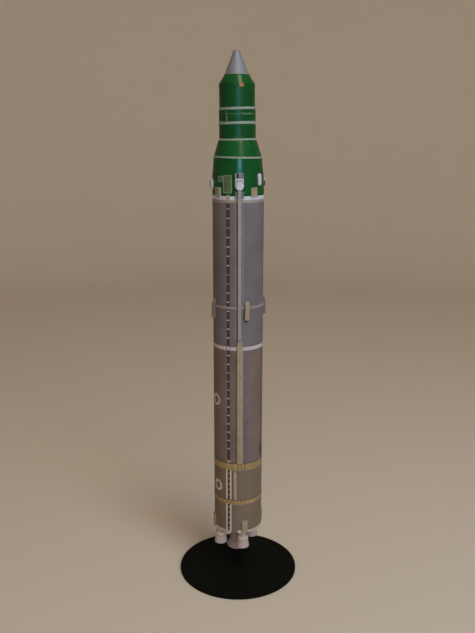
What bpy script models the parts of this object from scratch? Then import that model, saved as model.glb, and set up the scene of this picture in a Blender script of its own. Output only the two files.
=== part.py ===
# Card display model of a slim two-stage rocket, standing on a round black disc.
#
# Metres, +Z up. The origin is on the floor under the middle of the disc.
# The front of the rocket faces -Y. An angle round the body starts at the front
# and grows towards +X. Heights are above the floor.

import bpy
import bmesh
from math import cos, pi, radians, sin
from mathutils import Matrix, Vector

MM = 0.001

# Driving dimensions
BODY_RADIUS = 15.625 * MM
GAP = 0.3 * MM                    # between one piece and the next
QUARTER = pi / 2

# Stand
DISC_RADIUS = 39.2 * MM
DISC_THICKNESS = 1.2 * MM
DISC_CHAMFER = 0.2 * MM
ROD_RADIUS = 2.0 * MM

# Heights of the joints between the sections of the body, from the tail to the tip
SKIRT_EDGE = 33.5 * MM
TRIM_TOP = 34.8 * MM
LOWER_BAND = (53.9 * MM, 57.0 * MM)
UPPER_BAND = (77.7 * MM, 82.6 * MM)
WHITE_RING = (157.8 * MM, 160.1 * MM)
INTERSTAGE = (184.0 * MM, 185.6 * MM)
JOINT_RINGS = (248.1 * MM, 249.8 * MM, 252.0 * MM)
BAY_RING = (273.7 * MM, 274.7 * MM)
FLARE_RING = (283.9 * MM, 284.9 * MM)
PAYLOAD_RING_LOW = (293.1 * MM, 294.6 * MM)
PAYLOAD_RING_HIGH = (301.3 * MM, 302.7 * MM)
SHOULDER = (316.0 * MM, 321.0 * MM)
TIP = 334.7 * MM

# Radii of the hull where its slope changes
BAY_CURVE_START = 260.0 * MM
BAY_TOP_RADIUS = 0.934 * BODY_RADIUS
FLARE_TOP_RADIUS = 0.71 * BODY_RADIUS
PAYLOAD_LOW_RADIUS = 0.695 * BODY_RADIUS
PAYLOAD_HIGH_RADIUS = 0.673 * BODY_RADIUS
NOSE_RADIUS = 7.2 * MM
TIP_RADIUS = 1.8 * MM
TIP_ROUNDING = 0.4 * MM

# How far glued strips stand out from the hull
BAND_PROUD = 0.2 * MM
RING_PROUD = 0.15 * MM
INTERSTAGE_PROUD = 0.35 * MM

# Tail: a white rim round a flat bulkhead that carries the nozzles
TRIM_WALL = 1.9 * MM
BULKHEAD_THICKNESS = 1.0 * MM

# Nozzles: four outer bells in a square round one longer bell. The long one is on the axis.
# The square is glued on a little to one side.
NOZZLE_ANGLE = radians(23.0)
NOZZLE_DISTANCE = 11.1 * MM
NOZZLE_SHIFT = -1.2 * MM
NOZZLE_WALL = 0.5 * MM
BELL_EXIT = (21.5 * MM, 4.2 * MM)
BELL_TOP = (26.6 * MM, 3.6 * MM)
CHAMBER_RADIUS = 3.5 * MM
CHAMBER_SHOULDER = (29.2 * MM, 3.3 * MM)
CHAMBER_NECK = (29.9 * MM, 2.4 * MM)
CORE_EXIT = (16.9 * MM, 7.4 * MM)
CORE_WAIST = (20.8 * MM, 5.4 * MM)
CORE_THROAT = (28.0 * MM, 5.0 * MM)
CORE_NECK = (30.5 * MM, 4.7 * MM)

# Fittings on the skin: angles, width, bottom, top and how far out each one reaches.
# The motors, feet and pods are glued on by hand, so their steps round the body differ a little.
FAIRING_ANGLES = [radians(16.2 + 90.0 * i) for i in range(4)]
FAIRING = (3.8 * MM, 33.5 * MM, 42.2 * MM, 0.5 * MM)
FAIRING_SLOPE = (0.3 * MM, 1.1 * MM)
MOTOR_ANGLES = [radians(19.0), radians(104.0), radians(199.0), radians(295.0)]
MOTOR = (2.9 * MM, 177.3 * MM, 188.9 * MM, 1.6 * MM)
MOTOR_SLOPE = (1.2 * MM, 3.6 * MM)
RACEWAY_ANGLE = radians(4.0)
UPPER_RACEWAY_ANGLE = radians(3.0)
RACEWAY_LOWER = (3.7 * MM, 82.9 * MM, 164.2 * MM, 0.8 * MM)
RACEWAY_UPPER = (2.2 * MM, 164.5 * MM, 255.4 * MM, 1.2 * MM)
STRIP_ANGLE = radians(-6.8)
LOWER_STRIP = (2.0 * MM, 57.4 * MM, 77.4 * MM, 0.55 * MM)
CONNECTOR = (5.0 * MM, 255.7 * MM, 262.3 * MM, 1.5 * MM)
WINDOW = (5.1 * MM, 262.6 * MM, 265.3 * MM, 1.2 * MM)
TAB_ANGLES = (radians(-4.1), radians(10.0))
TAB = (1.1 * MM, 250.5 * MM, 254.8 * MM, 0.6 * MM)
HIGH_POD_ANGLES = [radians(53.2), radians(233.2)]
HIGH_POD = (2.6 * MM, 258.0 * MM, 264.9 * MM, 0.5 * MM)
LOW_POD_ANGLES = [radians(111.5), radians(283.5)]
LOW_POD = (3.7 * MM, 255.5 * MM, 261.6 * MM, 1.0 * MM)
FOOT_ANGLES = [radians(36.0), radians(127.0), radians(218.0), radians(312.0)]
FOOT = (4.2 * MM, 251.3 * MM, 257.0 * MM, 0.5 * MM)

BACK_DEPTH = 2.3 * MM             # how deep a fitting starts before its back is cut

BODY_SEGMENTS = 48
BELL_SEGMENTS = 28
DISC_SEGMENTS = 72
SHARP_EDGE = radians(30)

FINISHES = {
    "black_satin": ((0.012, 0.012, 0.013), 0.45, 0.0),
    "white_card": ((0.62, 0.58, 0.58), 0.6, 0.0),
    "grey_card": ((0.19, 0.17, 0.19), 0.55, 0.0),
    "gold_card": ((0.28, 0.20, 0.09), 0.55, 0.0),
    "cream_card": ((0.42, 0.36, 0.26), 0.6, 0.0),
    "tan_card": ((0.33, 0.28, 0.20), 0.6, 0.0),
    "pale_grey_card": ((0.40, 0.39, 0.40), 0.6, 0.0),
    "green_card": ((0.010, 0.075, 0.020), 0.4, 0.0),
    "silver_card": ((0.50, 0.49, 0.53), 0.5, 1.0),
}


def clear_scene():
    for scene_object in list(bpy.data.objects):
        bpy.data.objects.remove(scene_object, do_unlink=True)


def new_collection(name):
    collection = bpy.data.collections.new(name)
    bpy.context.scene.collection.children.link(collection)
    return collection


def make_finish(name):
    colour, roughness, metallic = FINISHES[name]
    finish = bpy.data.materials.new(name)
    finish.use_nodes = True
    shader = finish.node_tree.nodes["Principled BSDF"]
    shader.inputs["Base Color"].default_value = (*colour, 1.0)
    shader.inputs["Roughness"].default_value = roughness
    shader.inputs["Metallic"].default_value = metallic
    return finish


def settle(piece, finish):
    """Apply the modifiers, give the finish and shade the round faces smooth."""
    evaluated = piece.evaluated_get(bpy.context.evaluated_depsgraph_get())
    mesh = bpy.data.meshes.new_from_object(evaluated)
    mesh.name = piece.name
    piece.modifiers.clear()
    piece.data = mesh
    mesh.materials.clear()
    mesh.materials.append(finish)
    mesh.shade_smooth()
    mesh.set_sharp_from_angle(angle=SHARP_EDGE)
    return piece


def turned(name, profile, collection, segments=BODY_SEGMENTS, closed=False):
    """Turn a profile of (radius, height) round the Z axis.

    The profile runs down its outer side. An open one starts and ends on the axis.
    """
    mesh = bpy.data.meshes.new(name)
    points = [(radius, 0.0, height) for radius, height in profile]
    edges = [(i, i + 1) for i in range(len(points) - 1)]
    if closed:
        edges.append((len(points) - 1, 0))
    mesh.from_pydata(points, edges, [])
    piece = bpy.data.objects.new(name, mesh)
    collection.objects.link(piece)
    screw = piece.modifiers.new("Screw", "SCREW")
    screw.steps = segments
    screw.render_steps = segments
    screw.use_merge_vertices = True
    screw.merge_threshold = 0.00001
    return piece


def solid_of(radius_at, heights):
    """Profile of a solid whose outer radius at each height, top first, is radius_at(height)."""
    sides = [(radius_at(height), height) for height in heights]
    return [(0.0, heights[0])] + sides + [(0.0, heights[-1])]


def ramp(value, start, end):
    return min(max((value - start) / (end - start), 0.0), 1.0)


def blend(start, end, amount):
    return start + (end - start) * amount


def hull_radius(height):
    """Radius of the body's skin at a height."""
    if height <= BAY_RING[0]:
        t = ramp(height, BAY_CURVE_START, BAY_RING[0])
        return blend(BODY_RADIUS, BAY_TOP_RADIUS, t * t * (3 - 2 * t))
    if height <= FLARE_RING[1]:
        return blend(BAY_TOP_RADIUS, FLARE_TOP_RADIUS, ramp(height, BAY_RING[0], FLARE_RING[1]))
    if height <= PAYLOAD_RING_HIGH[1]:
        return PAYLOAD_LOW_RADIUS
    if height <= SHOULDER[0]:
        return PAYLOAD_HIGH_RADIUS
    if height <= SHOULDER[1]:
        return blend(PAYLOAD_HIGH_RADIUS, NOSE_RADIUS, ramp(height, *SHOULDER))
    return blend(NOSE_RADIUS, TIP_RADIUS, ramp(height, SHOULDER[1], TIP))


def hull_heights(bottom, top):
    """Heights, top first, that describe the skin between two heights."""
    heights = [top, bottom]
    curve_steps = 5
    for i in range(curve_steps + 1):
        height = blend(BAY_CURVE_START, BAY_RING[0], i / curve_steps)
        if bottom < height < top:
            heights.append(height)
    return sorted(heights, reverse=True)


def rounded_outline(width, bottom, top, corner, steps):
    """Outline (across, height) of an upright rectangle with rounded corners."""
    across = width / 2 - corner
    low = bottom + corner
    high = top - corner
    corners = ((across, low, -QUARTER), (across, high, 0.0), (-across, high, QUARTER), (-across, low, pi))
    outline = []
    for centre, height, start in corners:
        for i in range(steps + 1):
            angle = start + QUARTER * i / steps
            outline.append((centre + corner * cos(angle), height + corner * sin(angle)))
    return outline


def sloped_profile(bottom, top, reach, slope):
    """Side view (outward, height) of a block on the skin whose outer face slopes in at the top."""
    inside = -BACK_DEPTH
    setback, drop = slope
    return [
        (inside, bottom),
        (reach, bottom),
        (reach, top - drop),
        (reach - setback, top),
        (inside, top),
    ]


def extruded(name, outline, depth, place):
    """Mesh of a flat outline, thickened evenly both ways by half the depth, moved to its place."""
    curve = bpy.data.curves.new(name, "CURVE")
    curve.dimensions = "2D"
    curve.fill_mode = "BOTH"
    curve.extrude = depth / 2
    spline = curve.splines.new("POLY")
    spline.points.add(len(outline) - 1)
    for point, (across, height) in zip(spline.points, outline):
        point.co = (across, height, 0.0, 1.0)
    spline.use_cyclic_u = True

    drawn = bpy.data.objects.new(name + "_outline", curve)
    bpy.context.scene.collection.objects.link(drawn)
    evaluated = drawn.evaluated_get(bpy.context.evaluated_depsgraph_get())
    mesh = bpy.data.meshes.new_from_object(evaluated)
    bpy.data.objects.remove(drawn)

    shape = bmesh.new()
    shape.from_mesh(mesh)
    bmesh.ops.remove_doubles(shape, verts=shape.verts, dist=0.00001)
    bmesh.ops.recalc_face_normals(shape, faces=shape.faces)
    bmesh.ops.transform(shape, matrix=place, verts=shape.verts)
    shape.to_mesh(mesh)
    shape.free()
    return mesh


def skin_axes(angle):
    """The directions across, up and outward at an angle round the body."""
    across = Vector((cos(angle), sin(angle), 0.0))
    outward = Vector((sin(angle), -cos(angle), 0.0))
    return across, Vector((0.0, 0.0, 1.0)), outward


def placed(first, second, third, centre):
    place = Matrix((first, second, third)).transposed().to_4x4()
    place.translation = centre
    return place


def facing_out(name, outline, reach, angle):
    """Mesh of an outline (across, height) drawn on the skin and run out by the reach."""
    across, up, outward = skin_axes(angle)
    inner = BODY_RADIUS + GAP - BACK_DEPTH
    outer = BODY_RADIUS + GAP + reach
    return extruded(name, outline, outer - inner, placed(across, up, outward, outward * (inner + outer) / 2))


def seen_from_side(name, outline, width, angle):
    """Mesh of a side view (outward from the skin, height) made as wide as given."""
    across, up, outward = skin_axes(angle)
    return extruded(name, outline, width, placed(outward, up, -across, outward * (BODY_RADIUS + GAP)))


def glued_on(name, mesh, bevel, bevel_steps, collection, skin):
    """A fitting with softened edges, its back cut to the skin."""
    piece = bpy.data.objects.new(name, mesh)
    collection.objects.link(piece)
    edge = piece.modifiers.new("Edge", "BEVEL")
    edge.width = bevel
    edge.segments = bevel_steps
    edge.limit_method = "ANGLE"
    edge.angle_limit = radians(50)
    back = piece.modifiers.new("Back", "BOOLEAN")
    back.operation = "DIFFERENCE"
    back.solver = "EXACT"
    back.object = skin
    return piece


def copies_round(first, angles, collection):
    """Copies of the piece at the first angle, turned to the other ones, named on from its 1."""
    stem = first.name[:-1]
    for i, angle in enumerate(angles[1:]):
        copy = bpy.data.objects.new(stem + str(i + 2), first.data)
        copy.rotation_euler.z = angle - angles[0]
        collection.objects.link(copy)


def make_stand(parts, finishes):
    rim = DISC_RADIUS - DISC_CHAMFER
    profile = [
        (0.0, DISC_THICKNESS),
        (rim, DISC_THICKNESS),
        (DISC_RADIUS, DISC_THICKNESS - DISC_CHAMFER),
        (DISC_RADIUS, DISC_CHAMFER),
        (rim, 0.0),
        (0.0, 0.0),
    ]
    disc = turned("base_disc", profile, parts, DISC_SEGMENTS)
    settle(disc, finishes["black_satin"])

    rod_heights = (SKIRT_EDGE - GAP, DISC_THICKNESS + GAP)
    rod = turned("stand_rod", solid_of(lambda height: ROD_RADIUS, rod_heights), parts, 24)
    settle(rod, finishes["black_satin"])


def make_tail(parts, finishes):
    inner = BODY_RADIUS - TRIM_WALL
    profile = [
        (inner, TRIM_TOP),
        (BODY_RADIUS, TRIM_TOP),
        (BODY_RADIUS, SKIRT_EDGE),
        (inner, SKIRT_EDGE),
    ]
    trim = turned("tail_trim_ring", profile, parts, closed=True)
    settle(trim, finishes["white_card"])

    heights = (SKIRT_EDGE + BULKHEAD_THICKNESS, SKIRT_EDGE)
    bulkhead = turned("tail_bulkhead", solid_of(lambda height: inner - GAP, heights), parts)
    settle(bulkhead, finishes["pale_grey_card"])


def bell_radius(height):
    """Outer radius of an outer bell, opening towards the exit."""
    return blend(BELL_TOP[1], BELL_EXIT[1], ramp(height, BELL_TOP[0], BELL_EXIT[0]) ** 1.5)


def make_outer_nozzles(parts, finishes):
    steps = 3
    flare = [blend(BELL_TOP[0], BELL_EXIT[0], i / steps) for i in range(steps + 1)]
    outer = [(bell_radius(height), height) for height in flare]
    inner = [(radius - NOZZLE_WALL, height) for radius, height in reversed(outer)]
    cap = BELL_TOP[0] - NOZZLE_WALL
    inner[-1] = (inner[-1][0], cap)
    bell = turned("nozzle_bell_1", [(0.0, BELL_TOP[0])] + outer + inner + [(0.0, cap)], parts, BELL_SEGMENTS)
    settle(bell, finishes["white_card"])

    neck = CHAMBER_NECK[1]
    top = SKIRT_EDGE - GAP
    foot = BELL_TOP[0] + GAP
    profile = [(0.0, top), (neck, top), (neck, CHAMBER_NECK[0])]
    profile += [(CHAMBER_SHOULDER[1], CHAMBER_SHOULDER[0]), (CHAMBER_RADIUS, foot), (0.0, foot)]
    chamber = turned("nozzle_chamber_1", profile, parts, BELL_SEGMENTS)
    settle(chamber, finishes["white_card"])

    for first in (bell, chamber):
        stem = first.name[:-1]
        for i in range(4):
            piece = first
            if i > 0:
                piece = bpy.data.objects.new(stem + str(i + 1), first.data)
                parts.objects.link(piece)
            _, _, outward = skin_axes(NOZZLE_ANGLE + QUARTER * i)
            piece.location = outward * NOZZLE_DISTANCE + Vector((NOZZLE_SHIFT, 0.0, 0.0))


def make_core_nozzle(parts, finishes):
    """The long bell on the axis, bored for the rod."""
    steps = 3
    outer = [(CORE_NECK[1], SKIRT_EDGE - GAP), (CORE_NECK[1], CORE_NECK[0])]
    for (top, top_radius), (bottom, bottom_radius), curve in (
        (CORE_THROAT, CORE_WAIST, 1.0),
        (CORE_WAIST, CORE_EXIT, 1.25),
    ):
        for i in range(steps):
            t = i / steps
            outer.append((blend(top_radius, bottom_radius, t ** curve), blend(top, bottom, t)))
    outer.append((CORE_EXIT[1], CORE_EXIT[0]))
    bore = ROD_RADIUS + GAP
    inner = [(radius - NOZZLE_WALL, height) for radius, height in reversed(outer[2:])]
    profile = outer + inner + [(bore, CORE_NECK[0] - NOZZLE_WALL), (bore, outer[0][1])]
    core = turned("core_nozzle", profile, parts, closed=True)
    settle(core, finishes["white_card"])


def make_body(parts, cutters, finishes):
    sections = (
        ("tail_section", TRIM_TOP, LOWER_BAND[0], "grey_card"),
        ("mid_section", LOWER_BAND[1], UPPER_BAND[0], "grey_card"),
        ("first_stage_tube", UPPER_BAND[1], WHITE_RING[0], "grey_card"),
        ("first_stage_top", WHITE_RING[1], INTERSTAGE[0], "grey_card"),
        ("second_stage_tube", INTERSTAGE[1], JOINT_RINGS[0], "grey_card"),
        ("equipment_bay", JOINT_RINGS[2], BAY_RING[0], "green_card"),
        ("flare_cone", BAY_RING[1], FLARE_RING[0], "green_card"),
        ("payload_lower", FLARE_RING[1], PAYLOAD_RING_LOW[0], "green_card"),
        ("payload_middle", PAYLOAD_RING_LOW[1], PAYLOAD_RING_HIGH[0], "green_card"),
        ("payload_upper", PAYLOAD_RING_HIGH[1], SHOULDER[0], "green_card"),
        ("shoulder_cone", SHOULDER[0], SHOULDER[1], "green_card"),
    )
    for name, bottom, top, finish in sections:
        heights = hull_heights(bottom + GAP / 2, top - GAP / 2)
        piece = turned(name, solid_of(hull_radius, heights), parts)
        settle(piece, finishes[finish])

    rings = (
        ("lower_band", *LOWER_BAND, BAND_PROUD, "gold_card"),
        ("upper_band", *UPPER_BAND, BAND_PROUD, "gold_card"),
        ("white_ring", *WHITE_RING, 0.0, "white_card"),
        ("joint_ring_lower", JOINT_RINGS[0], JOINT_RINGS[1], 0.0, "cream_card"),
        ("joint_ring_upper", JOINT_RINGS[1], JOINT_RINGS[2], 0.0, "white_card"),
        ("bay_ring", *BAY_RING, RING_PROUD, "cream_card"),
        ("flare_ring", *FLARE_RING, RING_PROUD, "cream_card"),
        ("payload_ring_low", *PAYLOAD_RING_LOW, RING_PROUD, "cream_card"),
        ("payload_ring_high", *PAYLOAD_RING_HIGH, RING_PROUD, "cream_card"),
    )
    for name, bottom, top, proud, finish in rings:
        heights = (top - GAP / 2, bottom + GAP / 2)
        profile = solid_of(lambda height: hull_radius(height) + proud, heights)
        settle(turned(name, profile, parts), finishes[finish])

    make_interstage_ring(parts, cutters, finishes)
    make_nose(parts, finishes)


def make_interstage_ring(parts, cutters, finishes):
    """A raised ring, notched where the motors and the raceway pass over it."""
    heights = (INTERSTAGE[1] - GAP / 2, INTERSTAGE[0] + GAP / 2)
    profile = solid_of(lambda height: BODY_RADIUS + INTERSTAGE_PROUD, heights)
    ring = turned("interstage_ring", profile, parts)

    notch_depth = 6.0 * MM
    notch_floor = BODY_RADIUS - 0.25 * MM
    passing = [(angle, MOTOR[0]) for angle in MOTOR_ANGLES]
    passing.append((UPPER_RACEWAY_ANGLE, RACEWAY_UPPER[0]))
    shape = bmesh.new()
    for angle, width in passing:
        size = Matrix.Diagonal((width + 2 * GAP, notch_depth, 4.0 * MM, 1.0))
        out = Matrix.Translation((0.0, -notch_floor - notch_depth / 2, sum(INTERSTAGE) / 2))
        place = Matrix.Rotation(angle, 4, "Z") @ out @ size
        bmesh.ops.create_cube(shape, size=1.0, matrix=place)
    mesh = bpy.data.meshes.new("interstage_notches")
    shape.to_mesh(mesh)
    shape.free()
    notches = hidden(bpy.data.objects.new("interstage_notches", mesh), cutters)

    cut = ring.modifiers.new("Notches", "BOOLEAN")
    cut.operation = "DIFFERENCE"
    cut.solver = "EXACT"
    cut.object = notches
    settle(ring, finishes["tan_card"])


def make_nose(parts, finishes):
    """The silver cone, its blunt tip slightly rounded."""
    rounding = [(0.0, TIP)]
    steps = 3
    for i in range(steps + 1):
        angle = QUARTER * i / steps
        radius = TIP_RADIUS - TIP_ROUNDING + TIP_ROUNDING * sin(angle)
        rounding.append((radius, TIP - TIP_ROUNDING + TIP_ROUNDING * cos(angle)))
    foot = SHOULDER[1] + GAP / 2
    profile = rounding + [(hull_radius(foot), foot), (0.0, foot)]
    settle(turned("nose_cone", profile, parts), finishes["silver_card"])


def hidden(cutter, cutters):
    cutters.objects.link(cutter)
    cutter.hide_render = True
    cutter.display_type = "WIRE"
    return cutter


def make_skin_cutter(cutters):
    """The hull grown by the gap. It shapes the backs of the fittings."""
    bottom = SKIRT_EDGE - 2.0 * MM
    heights = hull_heights(bottom, BAY_RING[0])
    profile = solid_of(lambda height: hull_radius(height) + GAP, heights)
    skin = turned("skin_cutter", profile, cutters, 2 * BODY_SEGMENTS)
    skin.hide_render = True
    skin.display_type = "WIRE"
    return skin


def make_fittings(parts, skin, finishes):
    def plate(name, size, angle, finish, corner=0.2 * MM, bevel=0.12 * MM, steps=2):
        width, bottom, top, reach = size
        outline = rounded_outline(width, bottom, top, corner, steps)
        mesh = facing_out(name, outline, reach, angle)
        return settle(glued_on(name, mesh, bevel, 1, parts, skin), finishes[finish])

    def block(name, size, slope, angle, finish, bevel):
        width, bottom, top, reach = size
        mesh = seen_from_side(name, sloped_profile(bottom, top, reach, slope), width, angle)
        return settle(glued_on(name, mesh, bevel, 2, parts, skin), finishes[finish])

    for name, size, slope, angles, bevel in (
        ("tail_fairing_1", FAIRING, FAIRING_SLOPE, FAIRING_ANGLES, 0.25 * MM),
        ("separation_motor_1", MOTOR, MOTOR_SLOPE, MOTOR_ANGLES, 0.4 * MM),
    ):
        copies_round(block(name, size, slope, angles[0], "tan_card", bevel), angles, parts)

    copies_round(plate("bay_foot_1", FOOT, FOOT_ANGLES[0], "tan_card"), FOOT_ANGLES, parts)

    for name, size, angles in (
        ("high_pod_1", HIGH_POD, HIGH_POD_ANGLES),
        ("low_pod_1", LOW_POD, LOW_POD_ANGLES),
    ):
        pod = plate(name, size, angles[0], "white_card", corner=size[0] * 0.48, bevel=0.4 * MM, steps=4)
        copies_round(pod, angles, parts)

    plate("raceway_lower", RACEWAY_LOWER, RACEWAY_ANGLE, "tan_card")
    plate("raceway_upper", RACEWAY_UPPER, UPPER_RACEWAY_ANGLE, "tan_card")
    plate("lower_strip", LOWER_STRIP, STRIP_ANGLE, "pale_grey_card")
    plate("connector_box", CONNECTOR, UPPER_RACEWAY_ANGLE, "white_card", corner=0.8 * MM)
    plate("window_box", WINDOW, UPPER_RACEWAY_ANGLE, "white_card")
    for side, angle in zip(("left", "right"), TAB_ANGLES):
        plate("connector_tab_" + side, TAB, angle, "pale_grey_card")


def main():
    clear_scene()
    parts = new_collection("rocket_model")
    cutters = new_collection("cutters")
    finishes = {name: make_finish(name) for name in FINISHES}
    make_stand(parts, finishes)
    make_tail(parts, finishes)
    make_outer_nozzles(parts, finishes)
    make_core_nozzle(parts, finishes)
    make_body(parts, cutters, finishes)
    skin = make_skin_cutter(cutters)
    make_fittings(parts, skin, finishes)


main()
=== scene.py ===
# Looks of a hand-made card model of a slim two-stage rocket, standing on a round black disc.
#
# Metres, +Z up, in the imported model's own frame. The front faces -Y. An angle round the body
# starts at the front and grows towards +X. Heights are above the floor.

from math import atan2, ceil, cos, hypot, pi, radians, sin

import bmesh
import bpy
from mathutils import Euler, Matrix, Vector


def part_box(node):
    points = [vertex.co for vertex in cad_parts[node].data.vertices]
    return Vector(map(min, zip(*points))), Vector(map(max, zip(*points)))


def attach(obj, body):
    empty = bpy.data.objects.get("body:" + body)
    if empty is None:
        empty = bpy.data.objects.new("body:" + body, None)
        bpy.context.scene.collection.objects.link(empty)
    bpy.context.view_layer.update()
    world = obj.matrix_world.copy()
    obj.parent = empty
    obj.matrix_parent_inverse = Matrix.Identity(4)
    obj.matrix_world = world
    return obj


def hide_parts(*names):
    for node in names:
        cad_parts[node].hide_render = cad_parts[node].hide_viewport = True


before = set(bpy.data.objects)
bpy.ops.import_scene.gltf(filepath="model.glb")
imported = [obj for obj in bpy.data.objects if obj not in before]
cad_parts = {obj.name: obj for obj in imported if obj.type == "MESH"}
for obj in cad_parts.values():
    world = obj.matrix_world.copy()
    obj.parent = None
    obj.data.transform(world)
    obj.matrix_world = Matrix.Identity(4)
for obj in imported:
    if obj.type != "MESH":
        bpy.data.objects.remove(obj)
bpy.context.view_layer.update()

MM = 0.001
ROOT = "root"

# Sizes read from the frame
BODY_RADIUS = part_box("first_stage_tube")[1].x
HALF_GAP = 0.15 * MM              # half of the joint that the frame leaves between two sections

# The green part is glued on a little askew: it leans to the left from its lower edge up
LEAN_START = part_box("equipment_bay")[0].z
LEAN = 0.0125

# Fineness of the turned meshes
BODY_STEPS = 144
BELL_STEPS = 72
DISC_STEPS = 192
SHARP_EDGE = radians(35)

# How far sharp edges are rounded
THIN_EDGE = 0.05 * MM
BELL_EDGE = 0.08 * MM
RIM_EDGE = 0.1 * MM
BROAD_EDGE = 0.2 * MM

# Points of one shape that lie closer than this are one point
WELD = 0.001 * MM

# The paper: thickness of a printed layer above the skin, and how deep its back is sunk
PRINT_LIFT = 0.03 * MM
PRINT_SUNK = 0.12 * MM

# The camera that took the photograph, fitted to the outline, the rings and the disc
PHOTO_HEIGHT = 633
FOCAL_PIXELS = 742.8
SENSOR = 36.0
CAMERA_PLACE = (0.0, -0.4542, 0.2883)
CAMERA_PITCH = radians(-13.91)
CAMERA_YAW = radians(0.048)
CAMERA_ROLL = radians(0.025)


# Colours and materials

def colour(text):
    """Linear colour of an sRGB hex value."""
    channels = [int(text[i:i + 2], 16) / 255 for i in (1, 3, 5)]
    linear = [c / 12.92 if c <= 0.04045 else ((c + 0.055) / 1.055) ** 2.4 for c in channels]
    return (*linear, 1.0)


def add(tree, kind, settings=None, links=None):
    """Adds a node, gives it its settings and links its inputs."""
    node = tree.nodes.new(kind)
    for name, value in (settings or {}).items():
        if name == "stops":
            ramp = node.color_ramp.elements
            while len(ramp) < len(value):
                ramp.new(0.5)
            for stop, (position, shade) in zip(ramp, value):
                stop.position = position
                stop.color = shade
        elif isinstance(name, int) or name in node.inputs:
            node.inputs[name].default_value = value
        else:
            setattr(node, name, value)
    for name, source in (links or {}).items():
        tree.links.new(source, node.inputs[name])
    return node


def new_material(name, settings):
    """A material whose shader has the given settings. Returns it with its tree and shader."""
    material = bpy.data.materials.new(name)
    material.use_nodes = True
    tree = material.node_tree
    tree.nodes.clear()
    shader = add(tree, "ShaderNodeBsdfPrincipled", settings)
    add(tree, "ShaderNodeOutputMaterial", links={"Surface": shader.outputs["BSDF"]})
    return material, tree, shader


def place_on_print(tree):
    """Where a point of the skin lies on the flat print before it is rolled: arc length and height."""
    place = add(tree, "ShaderNodeTexCoord")
    axes = add(tree, "ShaderNodeSeparateXYZ", links={"Vector": place.outputs["Object"]})
    front = add(tree, "ShaderNodeMath", {"operation": "MULTIPLY", 1: -1.0}, {0: axes.outputs["Y"]})
    angle = add(
        tree, "ShaderNodeMath", {"operation": "ARCTAN2"}, {0: axes.outputs["X"], 1: front.outputs[0]}
    )
    arc = add(tree, "ShaderNodeMath", {"operation": "MULTIPLY", 1: BODY_RADIUS}, {0: angle.outputs[0]})
    return add(tree, "ShaderNodeCombineXYZ", links={"X": arc.outputs[0], "Y": axes.outputs["Z"]}).outputs[0]


# Card fibres. Real ones are about 0.02 mm wide, too fine for the render, so they're drawn coarser
FIBRE_WIDTH = 0.45 * MM
FIBRE_DEPTH = 0.04 * MM
FIBRE_SHADE = 0.75                # how much of their shade reaches the colour
FIBRE_BUMP = 0.35


def paper(tree, shader, base, position):
    """Card fibres: they break up the colour a little and roughen the surface."""
    fibres = add(
        tree,
        "ShaderNodeTexNoise",
        {"Scale": 1 / FIBRE_WIDTH, "Detail": 3.0, "Roughness": 0.6},
        {"Vector": position},
    )
    shade = add(
        tree,
        "ShaderNodeValToRGB",
        {"stops": [(0.3, colour("#d6d4d2")), (0.7, colour("#ffffff"))]},
        {"Fac": fibres.outputs["Fac"]},
    )
    fibrous = add(
        tree,
        "ShaderNodeMix",
        {"data_type": "RGBA", "blend_type": "MULTIPLY", 0: FIBRE_SHADE},
        {6: base, 7: shade.outputs["Color"]},
    )
    tree.links.new(fibrous.outputs[2], shader.inputs["Base Color"])
    bump = add(
        tree,
        "ShaderNodeBump",
        {"Strength": FIBRE_BUMP, "Distance": FIBRE_DEPTH},
        {"Height": fibres.outputs["Fac"]},
    )
    tree.links.new(bump.outputs["Normal"], shader.inputs["Normal"])


def coloured_card(name, dark, light, patch, settings, stretch=1.0):
    """Matt coated card, laser printed or painted: the colour lies in soft patches over the fibres.

    It gives an even, slightly cloudy colour with next to no gloss, unless the settings add one.
    A stretch below one draws the patches out into upright streaks.
    """
    matt = {"Roughness": 0.62, "Specular IOR Level": 0.15}
    material, tree, shader = new_material(name, {**matt, **settings})
    position = place_on_print(tree)
    streaks = add(tree, "ShaderNodeMapping", {"Scale": (1.0, stretch, 1.0)}, {"Vector": position})
    clouds = add(
        tree,
        "ShaderNodeTexNoise",
        {"Scale": 1 / patch, "Detail": 4.0, "Roughness": 0.55},
        {"Vector": streaks.outputs["Vector"]},
    )
    ink = add(
        tree,
        "ShaderNodeValToRGB",
        {"stops": [(0.3, colour(dark)), (0.7, colour(light))]},
        {"Fac": clouds.outputs["Fac"]},
    )
    paper(tree, shader, ink.outputs["Color"], position)
    return material


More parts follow.
